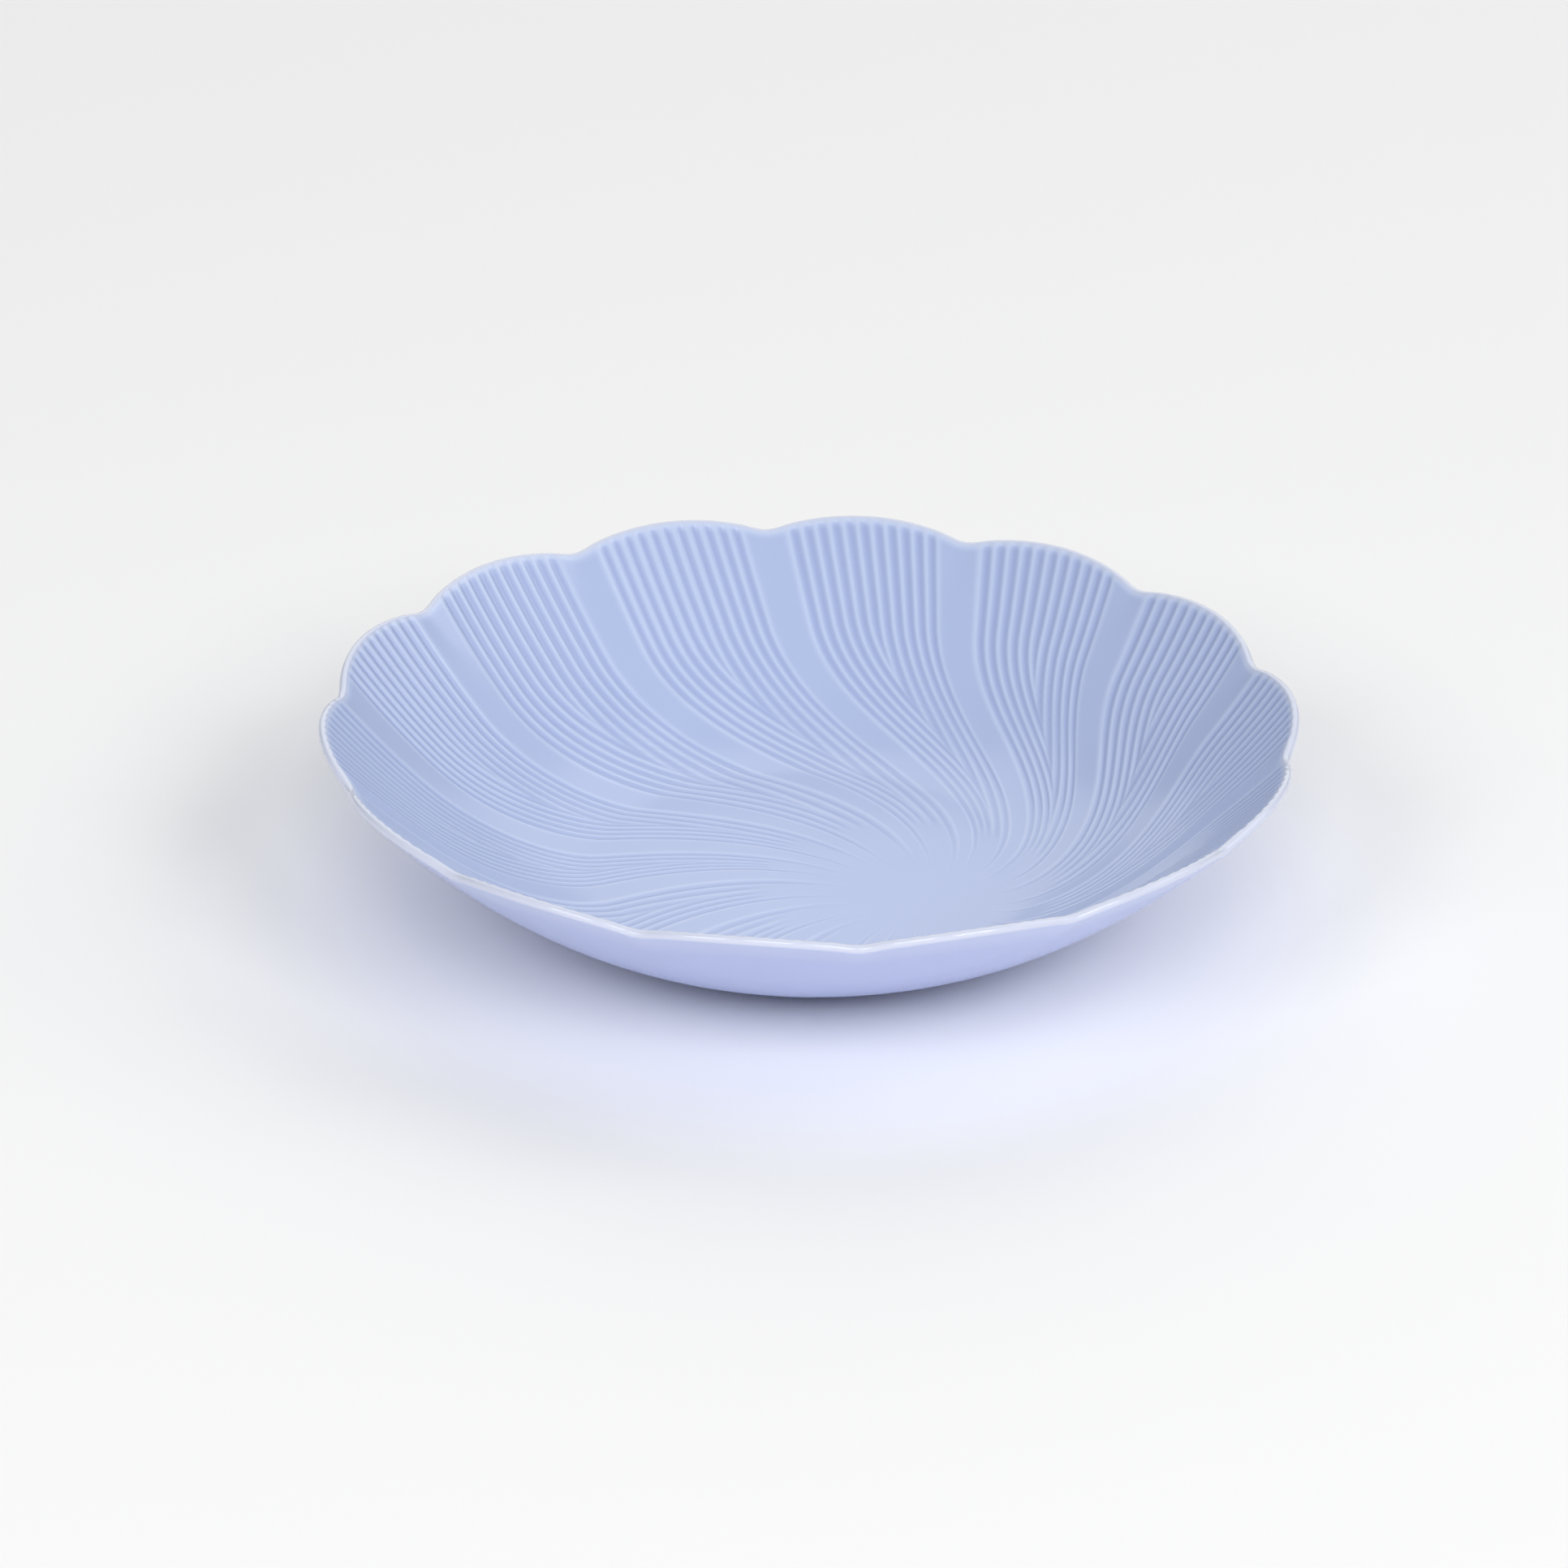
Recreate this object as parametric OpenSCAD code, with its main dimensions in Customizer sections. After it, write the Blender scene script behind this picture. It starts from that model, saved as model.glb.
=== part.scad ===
// Soup plate: a deep coupe bowl with a scalloped rim, on a low foot ring.
// A white fired body carries three coats of glaze, and stays bare on the lip and the foot.
// Millimetres, +Z up, with the origin on the table under the plate's centre.

/* [Plate] */
// Overall diameter, across the crests of two opposite lobes
plate_d = 230; // [190:1:270]
// Overall height, from the table to the top of the lip on a crest
plate_h = 46.5; // [38:0.5:60]
// Diameter of the flat floor, where the wall starts to rise
floor_d = 100; // [80:1:120]
// Shape of the wall: 1 is a straight cone, and a higher value stays low for longer
wall_bend = 1.6; // [1.3:0.05:2.2]

/* [Thickness] */
// Thickness of the floor, with the glaze on both its sides
floor_t = 4.2; // [3:0.1:7]
// Thickness of the wall at the lip, which is a half round
lip_t = 2.2; // [1.8:0.1:4]
// Thickness of each coat of glaze
glaze_t = 0.4; // [0.2:0.05:0.6]

/* [Scalloped rim] */
// Number of lobes round the rim
lobes = 14; // [8:1:20]
// Depth of the notch between two lobes, along the radius
notch_depth = 2.5; // [0.5:0.1:4]
// Width of the rounded hollow of a notch, along the rim
notch_w = 8; // [4:0.5:14]
// Turn of the first notch from +X, in degrees
notch_turn = 18.6; // [0:0.1:45]

/* [Foot ring] */
// How far the outside of the foot ring lies in from the edge of the floor
foot_inset = 1.5; // [0:0.5:10]
// Width of the foot ring
foot_w = 5; // [3:0.5:10]
// Height of the foot ring under the plate
foot_h = 2.2; // [1.2:0.1:5]
// Bevel on the two lower edges of the foot ring
foot_bevel = 0.7; // [0.2:0.1:1]
// Bare clay between the foot ring and the glaze on each side of it
bare_gap = 0.2; // [0.1:0.05:1]

/* [Hidden] */
$fn = 160;

// Facets along half a lobe, up the wall and round the lip
half_lobe_steps = 5;
wall_steps = 7;
lip_steps = 4;
// Above 1, the facets crowd towards the notches, where the outline turns fastest
crowding = 1.5;

clay_colour = "#f3f3f6";
face_colour = "#b7c6ea";
back_colour = "#b8c2ea";

// The wall is drawn along its middle surface, which ends in the centre of the lip
floor_r = floor_d / 2;
rim_r = plate_d / 2 - lip_t / 2;
mid_floor = foot_h + floor_t / 2;
mid_rise = plate_h - lip_t / 2 - mid_floor;
wall_run = rim_r - floor_r;

foot_or = floor_r - foot_inset;
foot_ir = foot_or - foot_w;
back_r = foot_or + bare_gap;
base_r = foot_ir - bare_gap;

half_pitch = 180 / lobes;
// Share of half a lobe that the rounded hollow of a notch takes
hollow = notch_w / 2 / (rim_r * half_pitch * PI / 180);
columns = lobes * 2 * half_lobe_steps;

// Wall: how far up it a radius lies, its height, its tilt and its thickness there
function climb(r) = max(0, (r - floor_r) / wall_run);
function mid_z(r) = mid_floor + mid_rise * pow(climb(r), wall_bend);
function tilt(r) = atan(mid_rise * wall_bend / wall_run * pow(climb(r), wall_bend - 1));
function wall_t(r) = floor_t + (lip_t - floor_t) * climb(r);

// Rim outline: u runs from 0 on a crest to 1 in a notch, along a parabola with a rounded hollow
function rim_dip(u) =
    let (turn = 1 - hollow)
    u < turn ? u * u / turn : 1 - pow(1 - u, 2) / hollow;
function outline_r(u) = rim_r - notch_depth * rim_dip(u);

// Columns: place in the lobe from -1 to 1, angle, and the radius of the rim there
function lobe_place(i) = (i % (2 * half_lobe_steps)) / half_lobe_steps - 1;
function crowd(v) = sign(v) * (1 - pow(1 - abs(v), crowding));
function column_u(i) = crowd(lobe_place(i));
function column_angle(i) =
    notch_turn + half_pitch * (2 * floor(i / (2 * half_lobe_steps)) + 1 + column_u(i));
function column_rim(i) = outline_r(abs(column_u(i)));

// Point on column i at distance off from the middle surface, above it where off is positive
function wall_point(i, r, off) =
    let (a = column_angle(i), s = r - off * sin(tilt(r)))
    [s * cos(a), s * sin(a), mid_z(r) + off * cos(tilt(r))];

// Point on column i round the lip, at an angle from 90 on its upper side to -90 on its lower side
function lip_point(i, turn) =
    let (r = column_rim(i), reach = lip_t / 2 * cos(turn))
    let (p = wall_point(i, r, lip_t / 2 * sin(turn)), a = column_angle(i))
    p + reach * [cos(tilt(r)) * cos(a), cos(tilt(r)) * sin(a), sin(tilt(r))];

// Loops of points round the plate: up the wall from start_r, on side 1 or -1, at a depth under its face
function step_r(i, start_r, k) = start_r + (column_rim(i) - start_r) * k / wall_steps;
function wall_loop(start_r, k, side, depth) = [
    for (i = [0 : columns - 1])
        let (r = step_r(i, start_r, k))
        wall_point(i, r, side * (wall_t(r) / 2 - depth))
];
function wall_loops(start_r, side, depth) = [
    for (k = [0 : wall_steps]) wall_loop(start_r, k, side, depth)
];
function lip_loops() = [
    for (k = [0 : lip_steps])
        [for (i = [0 : columns - 1]) lip_point(i, 90 - 180 * k / lip_steps)]
];
function backwards(list) = [for (k = [len(list) - 1 : -1 : 0]) list[k]];

// Faces between two loops; the diagonal leans the same way on the two sides of a shared surface
function band(a, b, lean) = [
    for (i = [0 : columns - 1])
        let (j = (i + 1) % columns, p = a * columns, q = b * columns)
        each lean
            ? [[p + i, p + j, q + i], [p + j, q + j, q + i]]
            : [[p + i, q + j, q + i], [p + i, p + j, q + j]]
];
function cap(loop, up) =
    let (ring = [for (i = [0 : columns - 1]) loop * columns + i])
    up ? backwards(ring) : ring;

// Solid skin over a list of loops, which turns back after loop turn and closes in caps or on itself
module loft(loops, turn, capped) {
    last = len(loops) - 1;
    bands = [for (k = [0 : last - 1]) each band(k, k + 1, k >= turn)];
    ends = capped ? [cap(0, true), cap(last, false)] : band(last, 0, true);
    polyhedron(points = [for (loop = loops) each loop], faces = concat(bands, ends));
}

// Foot ring, rooted in the middle of the body's thickness
module foot_ring() {
    rotate_extrude()
        polygon([
            [foot_ir, mid_z(foot_ir)],
            [foot_ir, foot_bevel],
            [foot_ir + foot_bevel, 0],
            [foot_or - foot_bevel, 0],
            [foot_or, foot_bevel],
            [foot_or, mid_z(foot_or)]
        ]);
}

// White body: bowl, lip and foot ring
module ceramic_body() {
    upper = wall_loops(floor_r, 1, glaze_t);
    lower = backwards(wall_loops(back_r, -1, glaze_t));
    color(clay_colour) {
        loft(concat(upper, lip_loops(), lower), wall_steps + lip_steps, true);
        foot_ring();
    }
}

// Coat over the whole inside of the bowl, up to the lip
module face_glaze() {
    outside = wall_loops(floor_r, 1, 0);
    inside = backwards(wall_loops(floor_r, 1, glaze_t));
    color(face_colour)
        loft(concat(outside, inside), wall_steps, true);
}

// Coat over the outside of the wall, from the lip down to the foot ring
module back_glaze() {
    inside = wall_loops(back_r, -1, glaze_t);
    outside = backwards(wall_loops(back_r, -1, 0));
    color(back_colour)
        loft(concat(inside, outside), wall_steps, false);
}

// Coat on the underside, inside the foot ring
module base_glaze() {
    clay_under = wall_point(0, back_r, glaze_t - wall_t(back_r) / 2);
    color(back_colour)
        translate([0, 0, clay_under.z - glaze_t])
            cylinder(r = base_r, h = glaze_t);
}

ceramic_body();
face_glaze();
back_glaze();
base_glaze();
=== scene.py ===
"""Soup plate with a scalloped rim and a swirl of fine flutes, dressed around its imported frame.

Metres, +Z up, with the origin on the table under the plate's centre. Each piece is spun as a plain
blank and then pressed, ring by ring, onto the plate's form, which repeats the sizes of the solids.
"""

import logging
import math
from dataclasses import dataclass, field
from enum import Enum
from functools import cached_property, lru_cache
from typing import Callable

import bmesh
import bpy
from mathutils import Euler, Matrix, Vector


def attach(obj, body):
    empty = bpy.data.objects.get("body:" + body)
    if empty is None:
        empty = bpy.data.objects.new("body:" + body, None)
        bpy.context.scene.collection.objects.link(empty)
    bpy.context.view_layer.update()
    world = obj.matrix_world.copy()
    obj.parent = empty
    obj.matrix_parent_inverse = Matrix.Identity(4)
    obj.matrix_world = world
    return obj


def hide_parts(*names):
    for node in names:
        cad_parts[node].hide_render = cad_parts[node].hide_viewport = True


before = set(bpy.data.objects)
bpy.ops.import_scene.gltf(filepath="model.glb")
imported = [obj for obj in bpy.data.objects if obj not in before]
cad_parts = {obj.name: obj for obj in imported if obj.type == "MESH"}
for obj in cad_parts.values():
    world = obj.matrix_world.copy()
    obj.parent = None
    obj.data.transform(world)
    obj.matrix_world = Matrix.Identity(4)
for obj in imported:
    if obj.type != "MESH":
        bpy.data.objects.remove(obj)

LOG = logging.getLogger("soup_plate")
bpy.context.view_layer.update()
BODY = "root"
TAU = math.tau

# Points of a blank that are closer than this are one, and its angles are kept to so many digits.
NEAR = 1e-4
ANGLE_DIGITS = 5
# Rounds in which a place on the face is traced back to the wall's middle surface.
SOLVE_ROUNDS = 12
# Step along a line of the swirl by which its direction is found.
LINE_STEP = 0.005
# Thickness of a glaze where it runs thin, on a ridge, on a plain surface and in a pool.
GLAZE_THIN = 0.06
GLAZE_RIDGE = 0.3
GLAZE_EVEN = 0.52
GLAZE_POOL = 0.85
GLAZE_IOR = 1.5
# Noises in a glaze, as waves per metre and number of finer layers.
RIPPLE = (160.0, 2.0)
FINE_RIPPLE = (1400.0, 2.0)
FINE_RIPPLE_SHARE = 0.2
GLOSS_PATCHES = (90.0, 4.0)
CLOUD_LAYERS = 3.0

Colour = tuple[float, float, float, float]
Plan = tuple[float, float]
Stops = list[tuple[float, Colour]]
Socket = bpy.types.NodeSocket


class Node(Enum):
    """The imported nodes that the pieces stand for."""

    BODY = "ceramic_body"
    FACE = "face_glaze"
    BACK = "back_glaze"
    BASE = "base_glaze"


class Slot(Enum):
    """The record's material slots."""

    CLAY = "fired_clay"
    FACE = "face_glaze"
    BACK = "back_glaze"


class Layer(Enum):
    """Values that the meshes carry on their points for the finishes."""

    GLAZE = "glaze_depth"
    OUTER = "outer_side"
    BARE = "bare_clay"


class Sum(Enum):
    """What a node makes of two numbers."""

    ADD = "ADD"
    SUBTRACT = "SUBTRACT"
    MULTIPLY = "MULTIPLY"


class Mixed(Enum):
    """What a node mixes."""

    COLOUR = "RGBA"
    NUMBER = "FLOAT"


def linear(code: str) -> Colour:
    """Turns a colour as it looks on a screen into the values that shaders use.

    Args:
        code: Six hexadecimal digits, two each for red, green and blue.

    Returns:
        Linear red, green and blue, and an alpha of 1.
    """
    parts = [int(code[i : i + 2], 16) / 255 for i in (0, 2, 4)]
    red, green, blue = (
        p / 12.92 if p <= 0.04045 else ((p + 0.055) / 1.055) ** 2.4 for p in parts
    )
    return red, green, blue, 1.0


def ease(low: float, high: float, value: float) -> float:
    """Rises smoothly from 0 at low to 1 at high.

    Args:
        low: Where the rise starts.
        high: Where the rise ends.
        value: The place that is asked for.

    Returns:
        A number from 0 to 1.
    """
    share = min(1.0, max(0.0, (value - low) / (high - low)))
    return share * share * (3 - 2 * share)


def between(start: float, end: float, share: float) -> float:
    """Gives the number at a share of the way from start to end."""
    return start + (end - start) * share


@dataclass(frozen=True)
class Spot:
    """One point of a pressed piece and what its finish needs to know there.

    Attributes:
        point: Where it lies.
        glaze: Thickness of the glaze, from 0 where it runs thin to 1 where it pools.
        outer: 0 on the face of the plate, 1 on its back.
        bare: 1 where the fired clay is bare.
    """

    point: Vector
    glaze: float = 0.5
    outer: float = 0.0
    bare: float = 0.0


@dataclass(frozen=True)
class Ring:
    """One ring of a blank.

    Attributes:
        place: Gives the spot for a turn round the blank, in radians.
        pole: Whether the ring closes in a single point.
        crisp: Whether the surface breaks along the ring.
        round_over: Radius of the rounding that the ring's edge gets, or 0.
    """

    place: Callable[[float], Spot]
    pole: bool = False
    crisp: bool = False
    round_over: float = 0.0


@dataclass
class Blank:
    """A blank that is spun from a straight line of rings and pressed into a piece.

    Attributes:
        name: Name of the piece.
        columns: Number of columns round it.
        rings: The rings in order, along the line.
        hoop: Whether the last ring meets the first one.
        wedges: Number of equal wedges that it is spun in, because one wedge at a time is quick.
        bevel_steps: Number of steps in the rounding of an edge.
    """

    name: str
    columns: int
    rings: list[Ring]
    hoop: bool = False
    wedges: int = 14
    bevel_steps: int = 4

    def spin(self) -> bmesh.types.BMesh:
        """Spins the line of rings into a wedge of a plain cylinder, and repeats the wedge all round.

        The cylinder has one unit of height per ring.

        Returns:
            The blank's mesh, with its doubles merged.
        """
        blank = bmesh.new()
        first = blank.verts.new((0.0 if self.rings[0].pole else 1.0, 0.0, 0.0))
        last = first
        for height, ring in enumerate(self.rings[1:], start=1):
            last = bmesh.ops.extrude_vert_indiv(blank, verts=[last])["verts"][0]
            last.co = (0.0 if ring.pole else 1.0, 0.0, height)
        if self.hoop:
            blank.edges.new((last, first))
        centred = {"cent": (0.0, 0.0, 0.0), "axis": (0.0, 0.0, 1.0)}
        wedge = TAU / self.wedges
        line = blank.verts[:] + blank.edges[:]
        bmesh.ops.spin(blank, geom=line, angle=wedge, steps=self.columns // self.wedges, **centred)
        sheet = blank.verts[:] + blank.edges[:] + blank.faces[:]
        bmesh.ops.spin(
            blank, geom=sheet, angle=TAU - wedge, steps=self.wedges - 1, use_duplicate=True, **centred
        )
        bmesh.ops.remove_doubles(blank, verts=blank.verts[:], dist=NEAR)
        return blank

    def press(self, blank: bmesh.types.BMesh) -> None:
        """Moves every point of the blank to its spot and notes the values for the finish.

        Args:
            blank: The spun mesh, which is changed in place.
        """
        layers = {layer: blank.verts.layers.float.new(layer.value) for layer in Layer}
        rounded: dict[float, list[bmesh.types.BMEdge]] = {}
        for edge in blank.edges:
            low, high = (round(vert.co.z) for vert in edge.verts)
            ring = self.rings[low]
            if low == high and ring.crisp:
                edge.smooth = False
            if low == high and ring.round_over:
                rounded.setdefault(ring.round_over, []).append(edge)
        for vert in blank.verts:
            turn = round(math.atan2(vert.co.y, vert.co.x) % TAU, ANGLE_DIGITS)
            spot = self.rings[round(vert.co.z)].place(turn)
            vert.co = spot.point
            vert[layers[Layer.GLAZE]] = spot.glaze
            vert[layers[Layer.OUTER]] = spot.outer
            vert[layers[Layer.BARE]] = spot.bare
        blank.normal_update()
        for radius, edges in rounded.items():
            bmesh.ops.bevel(
                blank,
                geom=edges,
                offset=radius,
                affect="EDGES",
                segments=self.bevel_steps,
                profile=0.5,
                material=-1,
            )

    def piece(self) -> bpy.types.Object:
        """Spins and presses the blank.

        Returns:
            The finished piece, linked to the scene, with its faces outwards.
        """
        blank = self.spin()
        self.press(blank)
        bmesh.ops.recalc_face_normals(blank, faces=blank.faces[:])
        for face in blank.faces:
            face.smooth = True
        mesh = bpy.data.meshes.new(self.name)
        blank.to_mesh(mesh)
        blank.free()
        made = bpy.data.objects.new(self.name, mesh)
        bpy.context.scene.collection.objects.link(made)
        return made


@dataclass(frozen=True)
class PlateForm:
    """The plate's form, with the sizes of its solids, in metres and radians.

    Attributes:
        plate_d: Diameter over the crests, a hair under the solid's to keep the mesh inside its box.
        plate_h: Height.
        floor_d: Diameter of the flat floor.
        wall_bend: Power by which the wall curves up.
        floor_t: Thickness of the floor.
        lip_t: Thickness of the lip.
        glaze_t: Thickness of a smooth coat of glaze.
        lobes: Number of lobes round the rim.
        notch_depth: How far a notch lies inside the crests.
        notch_w: Breadth of a notch.
        notch_turn: Angle of the first notch.
        foot_inset: How far the foot ring lies inside the floor's edge.
        foot_w: Breadth of the foot ring.
        foot_h: Height of the foot ring.
        foot_bevel: Rounding of its edges.
        bare_gap: Clay that is left bare beside it.
        notch_sag: How far the lip sags in a notch, where the soft clay was pressed in.
        sag_from: Where on the wall the sag starts, as a share of the rim's radius.
    """

    plate_d: float = 0.22996
    plate_h: float = 0.0465
    floor_d: float = 0.100
    wall_bend: float = 1.6
    floor_t: float = 0.0042
    lip_t: float = 0.0022
    glaze_t: float = 0.0004
    lobes: int = 14
    notch_depth: float = 0.0025
    notch_w: float = 0.008
    notch_turn: float = math.radians(18.6)
    foot_inset: float = 0.0015
    foot_w: float = 0.005
    foot_h: float = 0.0022
    foot_bevel: float = 0.0007
    bare_gap: float = 0.0002
    notch_sag: float = 0.0004
    sag_from: float = 0.85

    @cached_property
    def floor_r(self) -> float:
        """Radius of the flat floor."""
        return self.floor_d / 2

    @cached_property
    def rim_r(self) -> float:
        """Radius of the lip's centre on a crest."""
        return (self.plate_d - self.lip_t) / 2

    @cached_property
    def wall_run(self) -> float:
        """How far the wall runs outwards from the floor's edge."""
        return self.rim_r - self.floor_r

    @cached_property
    def mid_floor(self) -> float:
        """Height of the middle of the floor's thickness."""
        return self.foot_h + self.floor_t / 2

    @cached_property
    def mid_rise(self) -> float:
        """How far the wall's middle surface rises to the lip's centre."""
        return self.plate_h - self.lip_t / 2 - self.mid_floor

    @cached_property
    def pitch(self) -> float:
        """Angle from one notch to the next."""
        return TAU / self.lobes

    @cached_property
    def foot_or(self) -> float:
        """Outer radius of the foot ring."""
        return self.floor_r - self.foot_inset

    @cached_property
    def foot_ir(self) -> float:
        """Inner radius of the foot ring."""
        return self.foot_or - self.foot_w

    @cached_property
    def back_r(self) -> float:
        """Radius at which the coat on the back ends."""
        return self.foot_or + self.bare_gap

    @cached_property
    def base_r(self) -> float:
        """Radius of the coat inside the foot ring."""
        return self.foot_ir - self.bare_gap

    @cached_property
    def underside(self) -> float:
        """Height of the body's underside beside the foot ring, under its coats."""
        return self.wall_point(0.0, self.back_r, self.glaze_t - self.wall_t(self.back_r) / 2).z

    def climb(self, radius: float) -> float:
        """Share of the wall's run that lies inside a radius."""
        return max(0.0, (radius - self.floor_r) / self.wall_run)

    def mid_z(self, radius: float) -> float:
        """Height of the wall's middle surface at a radius."""
        return self.mid_floor + self.mid_rise * self.climb(radius) ** self.wall_bend

    def tilt(self, radius: float) -> float:
        """Slope of the wall's middle surface at a radius, as an angle."""
        steepest = self.mid_rise * self.wall_bend / self.wall_run
        return math.atan(steepest * self.climb(radius) ** (self.wall_bend - 1))

    def wall_t(self, radius: float) -> float:
        """Thickness of the wall at a radius."""
        return between(self.floor_t, self.lip_t, self.climb(radius))

    def lobe_share(self, angle: float) -> tuple[int, float]:
        """Finds the lobe at an angle and the share of it that lies before the angle.

        Args:
            angle: Angle round the plate.

        Returns:
            The lobe's number and a share from 0 to 1, from notch to notch.
        """
        turns = ((angle - self.notch_turn) % TAU) / self.pitch
        lobe = int(turns)
        return lobe % self.lobes, turns - lobe

    def outline_r(self, angle: float) -> float:
        """Radius of the lip's centre at an angle, along the scalloped outline.

        Args:
            angle: Angle round the plate.

        Returns:
            The radius, largest on a crest and smallest in a notch.
        """
        away = abs(2 * self.lobe_share(angle)[1] - 1)
        hollow = self.notch_w / (self.rim_r * self.pitch)
        turn = 1 - hollow
        dip = away**2 / turn if away < turn else 1 - (1 - away) ** 2 / hollow
        return self.rim_r - self.notch_depth * dip

    def sag(self, angle: float, radius: float) -> float:
        """Finds how far the wall sags towards a notch.

        Args:
            angle: Angle round the plate.
            radius: Radius on the middle surface.

        Returns:
            The drop, most in the notch itself.
        """
        share = self.lobe_share(angle)[1]
        away = min(share, 1 - share) * self.pitch * radius / (self.notch_w / 2)
        return self.notch_sag * math.exp(-(away**2)) * ease(self.sag_from, 1.0, radius / self.rim_r)

    def wall_point(self, angle: float, radius: float, off: float) -> Vector:
        """Places a point at a distance from the wall's middle surface.

        Args:
            angle: Angle round the plate.
            radius: Radius on the middle surface.
            off: Distance from that surface, towards the face where it is positive.

        Returns:
            The point.
        """
        tilt = self.tilt(radius)
        reach = radius - off * math.sin(tilt)
        height = self.mid_z(radius) + off * math.cos(tilt) - self.sag(angle, radius)
        return Vector((reach * math.cos(angle), reach * math.sin(angle), height))

    def lip_point(self, angle: float, turn: float, sunk: float = 0.0) -> Vector:
        """Places a point on the half round of the lip.

        Args:
            angle: Angle round the plate.
            turn: Angle round the lip, from a right angle on the face to the same below zero.
            sunk: How far the point lies under the half round.

        Returns:
            The point.
        """
        radius = self.outline_r(angle)
        tilt = self.tilt(radius)
        size = self.lip_t / 2 - sunk
        point = self.wall_point(angle, radius, size * math.sin(turn))
        flat = math.cos(tilt)
        along = Vector((flat * math.cos(angle), flat * math.sin(angle), math.sin(tilt)))
        return point + along * size * math.cos(turn)

    def face_point(self, place: Plan, sunk: float) -> Vector:
        """Places a point of the face by its place seen from above.

        Args:
            place: The place on the face before the point is sunk.
            sunk: How far the point lies under the face.

        Returns:
            The point.
        """
        reach = math.hypot(*place)
        radius = reach
        for _ in range(SOLVE_ROUNDS):
            radius = reach + self.wall_t(radius) / 2 * math.sin(self.tilt(radius))
        angle = math.atan2(place[1], place[0])
        return self.wall_point(angle, radius, self.wall_t(radius) / 2 - sunk)


@dataclass(frozen=True)
class Line:
    """One line of the swirl, from the lip to the eye.

    Attributes:
        angle: Angle round the plate at which it leaves the lip.
        lobe: Number of the lobe that it lies in.
        share: Share of that lobe that lies before it.
        heading: Direction of its start from the eye.
        extra: How much further than the others it winds round the eye.
        reach: Distance of its start from the eye.
    """

    angle: float
    lobe: int
    share: float
    heading: float
    extra: float
    reach: float


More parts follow.
